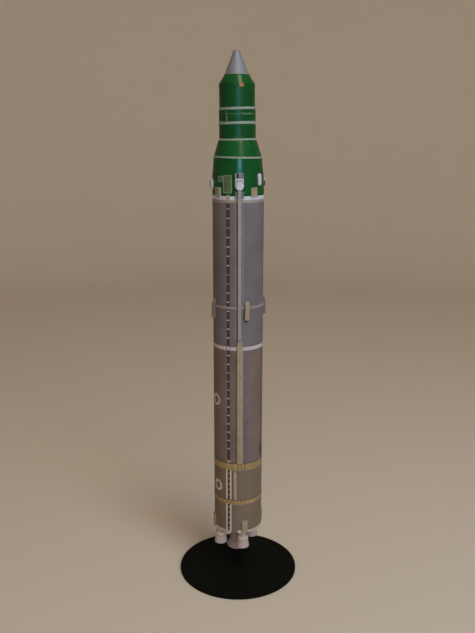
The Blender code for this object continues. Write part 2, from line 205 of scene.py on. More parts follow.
def make_materials():
    """All finishes by a short name.

    Each has the colour where the ink or paint is thick, the one where it is thin, and the width
    in mm of the soft patches of both.
    """
    under_varnish = {"Roughness": 0.5, "Specular IOR Level": 0.08}
    varnish = {**under_varnish, "Coat Weight": 0.2, "Coat Roughness": 0.2}
    worn_varnish = {**under_varnish, "Coat Weight": 0.22, "Coat Roughness": 0.36}
    silver_paint = {"Metallic": 0.25, "Roughness": 0.58}
    matt_cover = {"Roughness": 0.85, "Specular IOR Level": 0.12}
    gold_stretch = 0.25
    finishes = {}
    for name, kind, dark, light, patch, settings in (
        # Printed card of the body, greyer upwards: dull and even, a little cloudy. The cooler grey above
        # and the warmer greys below are painted light: cool light from above, warm light thrown up from the
        # floor
        ("grey", "printed_card_grey_painted_cool_light", "#716a70", "#7f787f", 18, {}),
        ("grey_mid", "printed_card_grey", "#756763", "#84756e", 18, {}),
        ("grey_warm", "printed_card_grey_painted_warm_light", "#796b5d", "#877767", 18, {}),
        # Printed card of the rings, boxes, covers and lines: as dull, and mostly paler
        # Slate also paints the shade on the motors' side walls
        ("slate", "printed_card_and_painted_shade_slate", "#6e6565", "#7d7373", 9, {}),
        ("white", "printed_card_white", "#ced0de", "#dcdeed", 6, {}),
        ("bright", "printed_card_bright_white", "#d4cbc3", "#e1d8d0", 6, {}),
        ("rim", "printed_card_rim", "#c8bcae", "#d5c9bb", 6, {}),
        ("rosy", "printed_card_rosy_white", "#c4bcbd", "#d2c9ca", 6, {}),
        ("pale", "printed_card_pale_grey", "#a29e9f", "#b1adae", 6, {}),
        ("faint", "printed_card_faint_grey", "#858087", "#939097", 6, {}),
        ("seam", "printed_card_seam_grey", "#7c7572", "#8a8383", 6, {}),
        ("tab", "printed_card_blue_grey", "#6c7b7c", "#768688", 6, {}),
        ("cream", "printed_card_cream", "#9c9893", "#a9a59f", 6, {}),
        ("ring", "printed_card_green_grey", "#93a39a", "#a0b0a7", 6, {}),
        ("rose", "printed_card_rose_grey", "#998a88", "#a79896", 6, {}),
        ("tan", "printed_card_tan", "#9d8e76", "#ae9f87", 6, {}),
        ("tan_grey", "printed_card_tan_grey", "#9b9690", "#a9a59e", 6, {}),
        ("strip", "printed_card_strip", "#a59684", "#b5a693", 6, {}),
        # The gold bands: a matt ochre, streaked like wood
        ("gold", "printed_card_gold", "#988052", "#b79f71", 3, {}),
        # Printed card under varnish: a deep colour with a narrow streak of shine
        ("green", "varnished_printed_card_green", "#0a4c1c", "#105c27", 9, varnish),
        # The cones' lighter green is painted light: they face up towards the light from above
        ("cone_green", "varnished_printed_card_green_painted_top_light", "#0f5522", "#16652e", 9, varnish),
        # The same where the varnish is worn: the streak is wide and weak
        ("soft_green", "worn_varnished_printed_card_green", "#09471a", "#0e5624", 9, worn_varnish),
        # Aluminium paint on card: a dull silver, brighter where it turns to the light
        ("silver", "silver_painted_card", "#8c8c99", "#9a99a6", 5, silver_paint),
        # Thin rolled card of the bells: dull warm white. The bell on the axis is a darker, cooler white,
        # which is painted shade: it stands in the shade between the other bells
        ("nozzle", "rolled_card_warm_white", "#c2b1a9", "#d1c0b7", 4, {}),
        ("core", "rolled_card_white_painted_shade", "#ac9ea1", "#bcaeb0", 4, {}),
        # Black covered board of the disc: nearly black, with a faint haze at a low angle
        ("black", "black_covered_board", "#060503", "#0c0a06", 14, matt_cover),
        # Printing inks of the marks: thin, flat and dull. Rust, umber and black also paint shade: the
        # shadows beside the raceway and the pale strip and under the front motor, the dark side of the low
        # pods, and the undersides of the fairings and motors
        ("rust", "printed_ink_and_painted_shade_rust", "#4d3a3a", "#594444", 2, {}),
        ("umber", "printed_ink_and_painted_shade_umber", "#453430", "#523f3a", 2, {}),
        ("ink", "printed_ink_and_painted_shade_black", "#2c2626", "#383131", 2, {}),
        ("orange", "printed_ink_orange", "#b87555", "#c88766", 2, {}),
        ("olive", "printed_ink_olive", "#586948", "#667654", 3, {}),
        ("sage", "printed_ink_sage", "#4f7a64", "#5a866e", 2, {}),
        ("mint", "printed_ink_mint", "#7f9f8a", "#8dad98", 2, {}),
        ("lime", "printed_ink_lime", "#aca483", "#bab292", 2, {}),
    ):
        stretch = gold_stretch if name == "gold" else 1.0
        finishes[name] = coloured_card(kind, dark, light, patch * MM, settings, stretch)
    return finishes


# Meshes

def settle(piece, material, slot, *stands_for):
    """Gives the finish, applies the modifiers, and ties the piece to the frame."""
    for each in material if isinstance(material, tuple) else (material,):
        piece.data.materials.append(each)
    bpy.context.view_layer.update()
    evaluated = piece.evaluated_get(bpy.context.evaluated_depsgraph_get())
    mesh = bpy.data.meshes.new_from_object(evaluated)
    mesh.name = piece.name
    for vertex in mesh.vertices:
        vertex.co.x -= LEAN * max(0.0, vertex.co.z - LEAN_START)
    piece.modifiers.clear()
    piece.data = mesh
    mesh.shade_smooth()
    mesh.set_sharp_from_angle(angle=SHARP_EDGE)
    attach(piece, ROOT)
    if stands_for:
        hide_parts(*stands_for)
    return piece


def new_piece(name, shape):
    """An object from a bmesh."""
    mesh = bpy.data.meshes.new(name)
    shape.to_mesh(mesh)
    shape.free()
    piece = bpy.data.objects.new(name, mesh)
    bpy.context.scene.collection.objects.link(piece)
    return piece


def soften(piece, width, segments=2, material=-1):
    """Rounds the sharp edges. The rounding may have a finish of its own, by its number."""
    edge = piece.modifiers.new("Edge", "BEVEL")
    edge.width = width
    edge.segments = segments
    edge.limit_method = "ANGLE"
    edge.angle_limit = SHARP_EDGE
    edge.material = material
    return piece


def turned(name, profile, steps=BODY_STEPS, closed=False, centre=(0.0, 0.0)):
    """Turns (radius, height) points round an upright axis."""
    shape = bmesh.new()
    points = [shape.verts.new((radius, 0.0, height)) for radius, height in profile]
    pairs = list(zip(points, points[1:]))
    if closed:
        pairs.append((points[-1], points[0]))
    edges = [shape.edges.new(pair) for pair in pairs]
    bmesh.ops.spin(
        shape, geom=points + edges, cent=(0, 0, 0), axis=(0, 0, 1), angle=2 * pi, steps=steps
    )
    bmesh.ops.remove_doubles(shape, verts=shape.verts, dist=WELD)
    bmesh.ops.recalc_face_normals(shape, faces=shape.faces)
    bmesh.ops.translate(shape, verts=shape.verts, vec=(*centre, 0.0))
    return new_piece(name, shape)


def frame_outline(node, centre=(0.0, 0.0)):
    """Largest radius at each height of a turned node of the frame, lowest height first."""
    radii = {}
    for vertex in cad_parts[node].data.vertices:
        height = round(vertex.co.z, 6)
        radius = hypot(vertex.co.x - centre[0], vertex.co.y - centre[1])
        radii[height] = max(radii.get(height, 0.0), radius)
    return sorted(radii.items())


def blend(start, end, amount):
    """The value that lies between start and end by the amount, from 0 to 1."""
    return start + (end - start) * amount


def read_off(outline, height):
    """Radius at a height, straight between the outline's points."""
    if height <= outline[0][0]:
        return outline[0][1]
    for (low, low_radius), (high, high_radius) in zip(outline, outline[1:]):
        if height <= high:
            return blend(low_radius, high_radius, (height - low) / (high - low))
    return outline[-1][1]


HULL = (
    # frame node, finish (none where a ring covers it), slot
    ("tail_section", "grey_warm", "grey_card"),
    ("lower_band", None, "gold_card"),
    ("mid_section", "grey_warm", "grey_card"),
    ("upper_band", None, "gold_card"),
    ("first_stage_tube", "grey_mid", "grey_card"),
    ("white_ring", None, "white_card"),
    ("first_stage_top", "grey", "grey_card"),
    ("interstage_ring", None, "tan_card"),
    ("second_stage_tube", "grey", "grey_card"),
    ("joint_ring_lower", None, "cream_card"),
    ("joint_ring_upper", None, "white_card"),
    ("equipment_bay", "green", "green_card"),
    ("bay_ring", None, "cream_card"),
    ("flare_cone", "cone_green", "green_card"),
    ("flare_ring", None, "cream_card"),
    ("payload_lower", "soft_green", "green_card"),
    ("payload_ring_low", None, "cream_card"),
    ("payload_middle", "soft_green", "green_card"),
    ("payload_ring_high", None, "cream_card"),
    ("payload_upper", "soft_green", "green_card"),
    ("shoulder_cone", "cone_green", "green_card"),
)

hull_outline = []
for section, finish, _ in HULL:
    if finish:
        hull_outline += frame_outline(section)


def hull_radius(height):
    """Radius of the skin at a height. The rings don't count."""
    return read_off(hull_outline, height)


def on_skin(arc, height, lift):
    """The point of the skin at an arc length from the front, measured on the straight body."""
    angle = arc / BODY_RADIUS
    radius = hull_radius(height) + lift
    return Vector((radius * sin(angle), -radius * cos(angle), height))


def arc_at(angle_degrees):
    """The arc length from the front to an angle."""
    return BODY_RADIUS * radians(angle_degrees)


def make_sections(finishes):
    """The rolled card tubes and cones. Each one closes up to its neighbours."""
    steps_up = 12
    for node, finish, slot in HULL:
        if not finish:
            continue
        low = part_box(node)[0].z - HALF_GAP
        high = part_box(node)[1].z + HALF_GAP
        heights = [blend(high, low, step / steps_up) for step in range(steps_up + 1)]
        sides = [(hull_radius(height), height) for height in heights]
        piece = turned(node + "_card", [(0.0, high)] + sides + [(0.0, low)])
        settle(piece, finishes[finish], slot, node)


RINGS = (
    # frame node, finish, how proud, how much its right side stands higher than its left
    ("lower_band", "gold", 0.1 * MM, 0.0),
    ("upper_band", "gold", 0.1 * MM, 0.0),
    ("white_ring", "rosy", 0.08 * MM, 0.0),
    ("interstage_ring", "rose", 0.35 * MM, 0.0),
    ("joint_ring_lower", "cream", 0.06 * MM, 0.0),
    ("joint_ring_upper", "white", 0.06 * MM, 0.0),
    ("bay_ring", "ring", 0.15 * MM, -0.5 * MM),
    ("flare_ring", "ring", 0.15 * MM, 0.45 * MM),
    ("payload_ring_low", "ring", 0.15 * MM, 0.7 * MM),
    ("payload_ring_high", "ring", 0.15 * MM, 0.65 * MM),
)


def make_rings(finishes):
    """Strips of card glued round the body. Some sit a little crooked."""
    sunk = 0.6 * MM
    slots = {node: slot for node, _, slot in HULL}
    for node, finish, proud, tilt in RINGS:
        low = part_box(node)[0].z - HALF_GAP
        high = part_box(node)[1].z + HALF_GAP
        middle = (low + high) / 2
        inner = [(hull_radius(height) - sunk, height) for height in (low, high)]
        outer = [(hull_radius(height) + proud, height) for height in (high, middle, low)]
        ring = turned(node + "_strip", outer + inner, closed=True)
        slope = tilt / (2 * hull_radius(middle))
        for vertex in ring.data.vertices:
            vertex.co.z += vertex.co.x * slope
        soften(ring, THIN_EDGE)
        settle(ring, finishes[finish], slots[node], node)


def make_nose(finishes):
    """The silver cone with a blunt, slightly rounded tip."""
    outline = frame_outline("nose_cone")
    foot = outline[0][0] - HALF_GAP
    tip = outline[-1][0]
    foot_radius = outline[0][1]
    tip_rows = 0.6 * MM
    tip_radius = max(radius for height, radius in outline if height > tip - tip_rows)
    rounding = 0.4 * MM
    steps = 6
    top = [(0.0, tip)]
    for i in range(steps + 1):
        angle = pi / 2 * i / steps
        top.append((tip_radius - rounding + rounding * sin(angle), tip - rounding + rounding * cos(angle)))
    sides = [
        (blend(top[-1][0], foot_radius, t), blend(top[-1][1], foot, t)) for t in (0.25, 0.5, 0.75, 1.0)
    ]
    piece = turned("nose_cone_card", top + sides + [(0.0, foot)])
    settle(piece, finishes["silver"], "silver_card", "nose_cone")


def make_stand(finishes):
    """The black disc, and the rod that carries the rocket."""
    disc_low, disc_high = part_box("base_disc")
    radius = disc_high.x
    profile = [(0.0, disc_high.z), (radius, disc_high.z), (radius, disc_low.z), (0.0, disc_low.z)]
    disc = soften(turned("base_disc_board", profile, DISC_STEPS), BROAD_EDGE, 3)
    settle(disc, finishes["black"], "stand", "base_disc")

    rod_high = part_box("stand_rod")[1]
    profile = [(0.0, rod_high.z), (rod_high.x, rod_high.z), (rod_high.x, disc_high.z), (0.0, disc_high.z)]
    settle(turned("stand_rod_turned", profile, BELL_STEPS), finishes["black"], "stand", "stand_rod")


def make_tail(finishes):
    """The white rim round the bulkhead."""
    low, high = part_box("tail_trim_ring")
    radius = high.x
    wall = 1.9 * MM
    top = high.z + HALF_GAP
    profile = [(radius - wall, top), (radius, top), (radius, low.z), (radius - wall, low.z)]
    rim = soften(turned("tail_rim_card", profile, closed=True), RIM_EDGE)
    settle(rim, finishes["rim"], "white_card", "tail_trim_ring")

    low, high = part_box("tail_bulkhead")
    profile = [(0.0, high.z), (radius - wall, high.z), (radius - wall, low.z), (0.0, low.z)]
    settle(turned("tail_bulkhead_card", profile), finishes["pale"], "pale_grey_card", "tail_bulkhead")


def make_outer_nozzles(finishes):
    """Four bells, each under a chamber with a straight collar. A dark joint line lies between them."""
    wall = 0.35 * MM
    bell_flare = 0.6 * MM
    bell_curve = 1.5
    steps = 12
    band_rise = 2.1 * MM
    band_proud = 0.08 * MM
    band_sunk = 0.4 * MM
    seam_sunk = 0.1 * MM
    for number in range(1, 5):
        bell = "nozzle_bell_" + str(number)
        low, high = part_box(bell)
        centre = ((low.x + high.x) / 2, (low.y + high.y) / 2)
        exit_radius = (high.x - low.x) / 2
        top_radius = exit_radius - bell_flare
        outer = []
        for i in range(steps + 1):
            t = i / steps
            outer.append((blend(top_radius, exit_radius, t ** bell_curve), blend(high.z, low.z, t)))
        inner = [(radius - wall, height) for radius, height in reversed(outer)]
        inner[-1] = (inner[-1][0], high.z - wall)
        profile = [(0.0, high.z)] + outer + inner + [(0.0, high.z - wall)]
        piece = soften(turned(bell + "_card", profile, BELL_STEPS, centre=centre), BELL_EDGE)
        settle(piece, finishes["nozzle"], "nozzle_card", bell)

        chamber = "nozzle_chamber_" + str(number)
        outline = frame_outline(chamber, centre)
        foot, foot_radius = outline[0]
        sides = [(radius, height) for height, radius in reversed(outline)]
        neck_top = outline[-1][0] + 2 * HALF_GAP
        profile = [(0.0, neck_top), (sides[0][0], neck_top)] + sides[1:] + [(0.0, foot)]
        piece = soften(turned(chamber + "_card", profile, BELL_STEPS, centre=centre), BROAD_EDGE, 3)
        settle(piece, finishes["nozzle"], "nozzle_card", chamber)

        band_top, band_inside = foot + band_rise, foot_radius - band_sunk
        band = [(band_inside, band_top), (foot_radius - band_proud, band_top)]
        band += [(foot_radius + band_proud, foot), (band_inside, foot)]
        piece = soften(turned(chamber + "_band", band, BELL_STEPS, True, centre), THIN_EDGE)
        settle(piece, finishes["bright"], "nozzle_card")

        seam_top, seam_radius = high.z, foot_radius - seam_sunk
        seam = [(0.0, foot), (seam_radius, foot), (seam_radius, seam_top), (0.0, seam_top)]
        settle(turned(bell + "_seam", seam, BELL_STEPS, centre=centre), finishes["ink"], "nozzle_card")


def make_core_nozzle(finishes):
    """The long bell on the axis. The rod goes up into it."""
    wall = 0.5 * MM
    outline = frame_outline("core_nozzle")
    sides = [(radius, height) for height, radius in reversed(outline)]
    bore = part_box("stand_rod")[1].x
    head_rows = 2
    inner = [(radius - wall, height) for radius, height in reversed(sides[head_rows:])]
    profile = sides + inner + [(bore, sides[0][1])]
    piece = turned("core_nozzle_card", profile, BELL_STEPS, closed=True)
    # The darker, cooler white of this bell is painted shade
    settle(piece, finishes["core"], "nozzle_card", "core_nozzle")


# Printed marks: each one is drawn flat, in arc length and height, and then rolled round the hull

PRINT_COLUMN = 0.8 * MM           # the grid of a printed mark, fine enough to follow the hull
PRINT_ROW = 1.5 * MM
TALL_ROW = 8.0 * MM               # for the long lines, which lie on straight tubes


def draw_strip(flat, left, right, low, high, row=PRINT_ROW):
    """An upright rectangle. Left and right are arc lengths."""
    columns = max(1, ceil((right - left) / PRINT_COLUMN))
    rows = max(1, ceil((high - low) / row))
    place = Matrix.Translation(((left + right) / 2, (low + high) / 2, 0.0))
    size = Matrix.Diagonal(((right - left) / 2, (high - low) / 2, 1.0, 1.0))
    bmesh.ops.create_grid(flat, x_segments=columns, y_segments=rows, size=1.0, matrix=place @ size)


def draw_circle_line(flat, arc, height, outer, width):
    """A ring of ink."""
    steps = 48
    circles = []
    for radius in (outer, outer - width):
        points = [2 * pi * i / steps for i in range(steps)]
        circles.append(
            [flat.verts.new((arc + radius * cos(a), height + radius * sin(a), 0.0)) for a in points]
        )
    large, small = circles
    for i in range(steps):
        flat.faces.new((large[i - 1], large[i], small[i], small[i - 1]))


def draw_frame(flat, left, right, low, high, line):
    """The outline of a rectangle."""
    draw_strip(flat, left, right, low, low + line)
    draw_strip(flat, left, right, high - line, high)
    draw_strip(flat, left, left + line, low + line, high - line)
    draw_strip(flat, right - line, right, low + line, high - line)


def rolled(name, flat, material, slot, lift=PRINT_LIFT):
    """Rolls a flat drawing round the hull as a thin layer."""
    bmesh.ops.remove_doubles(flat, verts=flat.verts, dist=WELD)
    for vertex in flat.verts:
        vertex.co = on_skin(vertex.co.x, vertex.co.y, lift)
    piece = new_piece(name, flat)
    layer = piece.modifiers.new("Layer", "SOLIDIFY")
    layer.thickness = lift + PRINT_SUNK
    layer.offset = -1.0
    return settle(piece, material, slot)


# The rungs of the ladder line are spaced down from the top one, and the faint ones counted from it
LADDER_ANGLE = -22.7
LADDER_PITCH = 5.634 * MM
LADDER_TOP_RUNG = 244.66 * MM
LADDER_RUNGS = 28
FAINT_RUNGS = (0, 2, 7, 8, 18, 19, 20)
RAIL_ANGLES = (-27.6, -17.5)
RAIL_MIDDLE = -22.5
FRONT_AND_BACK = (("front", 0.0), ("back", 180.0))


def make_ladder_lines(finishes):
    """A dark line with pale rungs that runs up both stages, at the front and at the back."""
    clear = 1.0 * MM
    half_rung_height = 0.28 * MM
    foot_low, foot_high, half_foot = 82.9 * MM, 84.6 * MM, 1.1 * MM
    for side, turn in FRONT_AND_BACK:
        middle = arc_at(LADDER_ANGLE + turn)
        stages = (
            # stage, low, high, half the line, half a rung, ink
            ("lower", foot_high, 184.0 * MM, 0.82 * MM, 0.85 * MM, "umber"),
            ("upper", 185.6 * MM, 248.0 * MM, 1.1 * MM, 0.9 * MM, "rust"),
        )
        for stage, low, high, half_line, half_rung, ink in stages:
            line = bmesh.new()
            draw_strip(line, middle - half_line, middle + half_line, low, high, TALL_ROW)
            rolled(f"ladder_line_{stage}_{side}", line, finishes[ink], "grey_card")
            rungs = {"bright": bmesh.new(), "pale": bmesh.new()}
            for i in range(LADDER_RUNGS):
                height = LADDER_TOP_RUNG - LADDER_PITCH * i
                if low + clear < height < high - clear:
                    flat = rungs["pale" if i in FAINT_RUNGS else "bright"]
                    bottom, top = height - half_rung_height, height + half_rung_height
                    draw_strip(flat, middle - half_rung, middle + half_rung, bottom, top)
            for finish, flat in rungs.items():
                name = f"ladder_rungs_{stage}_{side}_{finish}"
                rolled(name, flat, finishes[finish], "white_card", 2 * PRINT_LIFT)
        foot = bmesh.new()
        draw_strip(foot, middle - half_foot, middle + half_foot, foot_low, foot_high)
        rolled("ladder_foot_" + side, foot, finishes["strip"], "pale_grey_card")


def make_rails(finishes):
    """Two white lines with a dark tied line between them, up the lower sections."""
    half_rail = 0.48 * MM
    half_centre = 0.85 * MM
    first_tie = 2.2 * MM
    half_tie = 0.3 * MM
    tie_pitch = 3.75 * MM
    tie_slant = 0.45
    for side, turn in FRONT_AND_BACK:
        for stage, low, high in (("tail", 35.0 * MM, 53.8 * MM), ("mid", 57.2 * MM, 77.6 * MM)):
            rails = bmesh.new()
            for angle in RAIL_ANGLES:
                middle = arc_at(angle + turn)
                draw_strip(rails, middle - half_rail, middle + half_rail, low, high, TALL_ROW)
            rolled(f"rails_{stage}_{side}", rails, finishes["bright"], "white_card")
            middle = arc_at(RAIL_MIDDLE + turn)
            line = bmesh.new()
            draw_strip(line, middle - half_centre, middle + half_centre, low, high, TALL_ROW)
            rolled(f"rail_centre_{stage}_{side}", line, finishes["rust"], "grey_card")
            ties = bmesh.new()
            for i in range(int((high - low) / tie_pitch)):
                height = high - first_tie - tie_pitch * i
                bottom, top = height - half_tie, height + half_tie
                draw_strip(ties, middle - half_centre, middle + half_centre, bottom, top)
            for vertex in ties.verts:
                vertex.co.y += (vertex.co.x - middle) * tie_slant
            rolled(f"rail_ties_{stage}_{side}", ties, finishes["pale"], "white_card", 2 * PRINT_LIFT)


def make_circles(finishes):
    """The white circles at the left, and the same ones at the back."""
    ink_width = 1.5 * MM
    marks = bmesh.new()
    for _, turn in FRONT_AND_BACK:
        for angle, height, outer in ((-60.5, 123.7 * MM, 3.9 * MM), (-55.0, 65.0 * MM, 3.8 * MM)):
            draw_circle_line(marks, arc_at(angle + turn), height, outer, ink_width)
    rolled("white_circles", marks, finishes["bright"], "white_card")


SEAM_LINES = (
    # name, finish, left and right in degrees, low and high in mm
    ("tail_seam", "seam", -0.8, 0.5, 36.0, 50.0),
    ("stage_seam_lower", "seam", 26.7, 27.9, 36.0, 53.8),
    ("stage_seam_middle", "seam", 26.7, 27.9, 57.2, 77.6),
    ("stage_seam_upper", "seam", 26.7, 27.9, 82.7, 176.0),
    ("stage_panel", "slate", 11.4, 26.7, 82.7, 157.7),
    ("strip_margin", "strip", -10.9, -2.7, 57.4, 77.4),
    # A painted shadow beside the pale strip
    ("strip_shadow", "rust", -2.7, -1.7, 57.4, 77.4),
    ("ladder_edge", "faint", -28.3, -27.4, 84.6, 157.7),
    ("cable_line_left", "faint", -6.9, -4.1, 164.5, 247.9),
    ("cable_line_right", "faint", 10.2, 12.6, 185.6, 247.9),
    # A painted shadow beside the raised upper raceway
    ("cable_shadow", "rust", -2.7, -1.2, 164.5, 247.9),
    # A painted shadow under the front motor
    ("motor_shade", "umber", 14.6, 22.0, 175.6, 177.4),
    ("side_line_right", "umber", 66.2, 68.8, 82.7, 157.7),
    ("side_line_left", "umber", 246.2, 248.8, 82.7, 157.7),
    ("hatch_right", "rust", 62.0, 76.0, 85.5, 93.0),
    ("hatch_left", "rust", 242.0, 256.0, 85.5, 93.0),
)


def make_seam_lines(finishes):
    """The thin printed lines and panels that run along the grey body, and the painted shadows beside the
    upper raceway, beside the pale strip and under the front motor.
    """
    for name, finish, left, right, low, high in SEAM_LINES:
        line = bmesh.new()
        draw_strip(line, arc_at(left), arc_at(right), low * MM, high * MM, TALL_ROW)
        rolled(name, line, finishes[finish], "grey_card", 0.5 * PRINT_LIFT)


def make_band_marks(finishes):
    """The dark line along the top of each gold band, the pale one at its foot, and upright scores."""
    proud = 0.1 * MM
    top_line = 0.3 * MM
    foot_line = 0.35 * MM
    half_score = 0.15 * MM
    score_angles = (-1.0, 7.7, 17.2)
    for node in ("lower_band", "upper_band"):
        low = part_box(node)[0].z - HALF_GAP
        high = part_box(node)[1].z + HALF_GAP
        for part, finish, start, end in (
            ("top", "rust", high - top_line, high),
            ("foot", "tan", low, low + foot_line),
        ):
            line = bmesh.new()
            draw_strip(line, arc_at(-180.0), arc_at(180.0), start, end)
            rolled(f"{node}_{part}_line", line, finishes[finish], "gold_card", proud + PRINT_LIFT)
        scores = bmesh.new()
        for angle in score_angles:
            for _, turn in FRONT_AND_BACK:
                middle = arc_at(angle + turn)
                left, right = middle - half_score, middle + half_score
                draw_strip(scores, left, right, low + foot_line, high - top_line)
        rolled(node + "_scores", scores, finishes["rust"], "gold_card", proud + PRINT_LIFT)


def make_joint_marks(finishes):
    """What crosses the rings: the ladder's head and edges, and the tab and dash on the tail's rim."""
    over_ring = 0.14 * MM
    for name, finish, slot, left, right, low, high in (
        # left and right in degrees, low and high in mm
        ("ladder_head_top", "lime", "cream_card", -26.4, -18.8, 251.4, 252.7),
        ("ladder_head_left", "strip", "cream_card", -26.4, -22.6, 248.1, 251.4),
        ("ladder_head_right", "lime", "cream_card", -22.6, -18.8, 248.1, 251.4),
        ("rim_tab", "grey_warm", "grey_card", -15.4, -0.9, 33.5, 35.1),
        ("rim_dash", "bright", "white_card", 0.3, 6.8, 33.5, 35.3),
        ("ring_crossing_left", "umber", "grey_card", -27.3, -26.1, 157.65, 160.25),
        ("ring_crossing_right", "umber", "grey_card", -19.3, -18.1, 157.65, 160.25),
    ):
        mark = bmesh.new()
        draw_strip(mark, arc_at(left), arc_at(right), low * MM, high * MM)
        rolled(name, mark, finishes[finish], slot, over_ring)


def make_bay_marks(finishes):
    """The panel and the small hatch on the green bay."""
    fill = bmesh.new()
    lines = bmesh.new()
    for left, right, low, high, line in (
        # left and right in degrees, low, high and line in mm
        (-34.0, -13.7, 253.8, 264.1, 0.45),
        (-49.2, -35.4, 260.2, 263.5, 0.4),
    ):
        draw_strip(fill, arc_at(left), arc_at(right), low * MM, high * MM)
        draw_frame(lines, arc_at(left), arc_at(right), low * MM, high * MM, line * MM)
    rolled("bay_panel_fill", fill, finishes["olive"], "green_card")
    rolled("bay_panel_lines", lines, finishes["mint"], "green_card", 2 * PRINT_LIFT)


def make_payload_marks(finishes):
    """The thin line and its ticks, the orange square, and the lips above and below the cone."""
    line = bmesh.new()
    draw_strip(line, arc_at(-180.0), arc_at(180.0), 298.75 * MM, 299.05 * MM)
    rolled("payload_line", line, finishes["sage"], "green_card")

    # A row of ticks along the line at the right, a stack of short ones and an upright at the left
    ticks = bmesh.new()
    row_start, row_pitch, row_length, row_low, row_height = 14.5, 5.0, 3.4, 298.95, 0.5
    for step in range(7):
        start = arc_at(row_start + row_pitch * step)
        low = (row_low - row_height * (step % 2)) * MM
        draw_strip(ticks, start, start + arc_at(row_length), low, low + row_height * MM)
    stack_left, stack_right, stack_low, stack_pitch, stack_height = -37.4, -33.0, 295.0, 1.0, 0.4
    for step in range(6):
        low = (stack_low + stack_pitch * step) * MM
        right = arc_at(stack_right - step % 2)
        draw_strip(ticks, arc_at(stack_left), right, low, low + stack_height * MM)
    draw_strip(ticks, arc_at(stack_right), arc_at(-31.4), 295.4 * MM, 298.2 * MM)
    rolled("payload_ticks", ticks, finishes["mint"], "green_card", 2 * PRINT_LIFT)

    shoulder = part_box("shoulder_cone")[0].z - HALF_GAP
    over_lip = 0.16 * MM
    square = bmesh.new()
    draw_strip(square, arc_at(7.7), arc_at(21.3), 313.9 * MM, shoulder)
    rolled("orange_square", square, finishes["orange"], "tan_card", over_lip)

    nose_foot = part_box("nose_cone")[0].z
    lip_sunk = 0.5 * MM
    # The nose's lip is a real rim; its pale green-grey is a painted highlight along it
    lips = (
        ("shoulder_lip", shoulder - 1.9 * MM, shoulder, 0.1 * MM, "soft_green", "green_card"),
        ("nose_lip", nose_foot - HALF_GAP, nose_foot + 0.2 * MM, 0.08 * MM, "ring", "silver_card"),
    )
    for name, low, high, proud, finish, slot in lips:
        inside = min(hull_radius(low), hull_radius(high)) - lip_sunk
        outer = [(hull_radius(height) + proud, height) for height in (high, low)]
        profile = outer + [(inside, low), (inside, high)]
        lip = soften(turned(name, profile, closed=True), THIN_EDGE)
        settle(lip, finishes[finish], slot)


# Fittings: card pieces glued on the skin, with the frame's sizes and places

SUNK = 1.0 * MM                   # how deep the back of a fitting lies under the skin
CARD_EDGE = 0.12 * MM
SQUARE_ON = 0.9                   # least cosine of a face that looks straight along a direction


def facing(node):
    """The angle at which a fitting sits: that of the centroid of its surface."""
    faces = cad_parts[node].data.polygons
    centroid = sum((face.center * face.area for face in faces), Vector())
    return atan2(centroid.x, -centroid.y)


def local_size(node, angle):
    """A fitting's width, bottom, top and reach, seen along its own direction out of the body."""
    turn = Matrix.Rotation(-angle, 3, "Z")
    corners = [turn @ vertex.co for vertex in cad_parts[node].data.vertices]
    across = [corner.x for corner in corners]
    heights = [corner.z for corner in corners]
    return max(across) - min(across), min(heights), max(heights), -min(corner.y for corner in corners)


def skin_axes(angle):
    """The directions across, up and outward at an angle round the body."""
    across = Vector((cos(angle), sin(angle), 0.0))
    outward = Vector((sin(angle), -cos(angle), 0.0))
    return across, Vector((0.0, 0.0, 1.0)), outward


def add_prism(shape, outline, depth, axes, centre):
    """A flat outline run along its normal, evenly both ways. The axes are its two and the normal."""
    place = Matrix(axes).transposed().to_4x4()
    place.translation = centre
    front = shape.faces.new([shape.verts.new((x, y, -depth / 2)) for x, y in outline])
    run = bmesh.ops.extrude_face_region(shape, geom=[front])
    moved = [part for part in run["geom"] if isinstance(part, bmesh.types.BMVert)]
    bmesh.ops.translate(shape, verts=moved, vec=(0, 0, depth))
    bmesh.ops.transform(shape, matrix=place, verts=list(front.verts) + moved)
    bmesh.ops.recalc_face_normals(shape, faces=shape.faces)


def rounded(width, low, high, corner):
    """Outline (across, height) of an upright rectangle with rounded corners."""
    steps = 5
    side = width / 2 - corner
    bottom, top = low + corner, high - corner
    points = []
    for x, z, start in ((side, bottom, -90), (side, top, 0), (-side, top, 90), (-side, bottom, 180)):
        for i in range(steps + 1):
            angle = radians(start + 90 * i / steps)
            points.append((x + corner * cos(angle), z + corner * sin(angle)))
    return points


def make_plate(
    node, finish, slot, edge_finish, corner=0.2 * MM, edge=CARD_EDGE, steps=2, cut=None, cut_at_top=False
):
    """A flat piece with rounded corners, or two of them cut off. Its rim shows the card's cut edge."""
    angle = facing(node)
    across, up, outward = skin_axes(angle)
    width, low, high, reach = local_size(node, angle)
    inside = min(hull_radius(low), hull_radius(high)) - SUNK
    shape = bmesh.new()
    outline = rounded(width, low, high, corner)
    if cut:
        upper = [point for point in outline if point[1] > (low + high) / 2]
        side = width / 2
        in_by, up_by = cut
        outline = upper + [(-side, low + up_by), (in_by - side, low)]
        outline += [(side - in_by, low), (side, low + up_by)]
    if cut_at_top:
        outline = [(x, low + high - z) for x, z in reversed(outline)]
    add_prism(shape, outline, reach - inside, (across, up, outward), outward * (reach + inside) / 2)
    piece = soften(new_piece(node + "_card", shape), edge, steps, material=1)
    return settle(piece, (finish, edge_finish), slot, node)


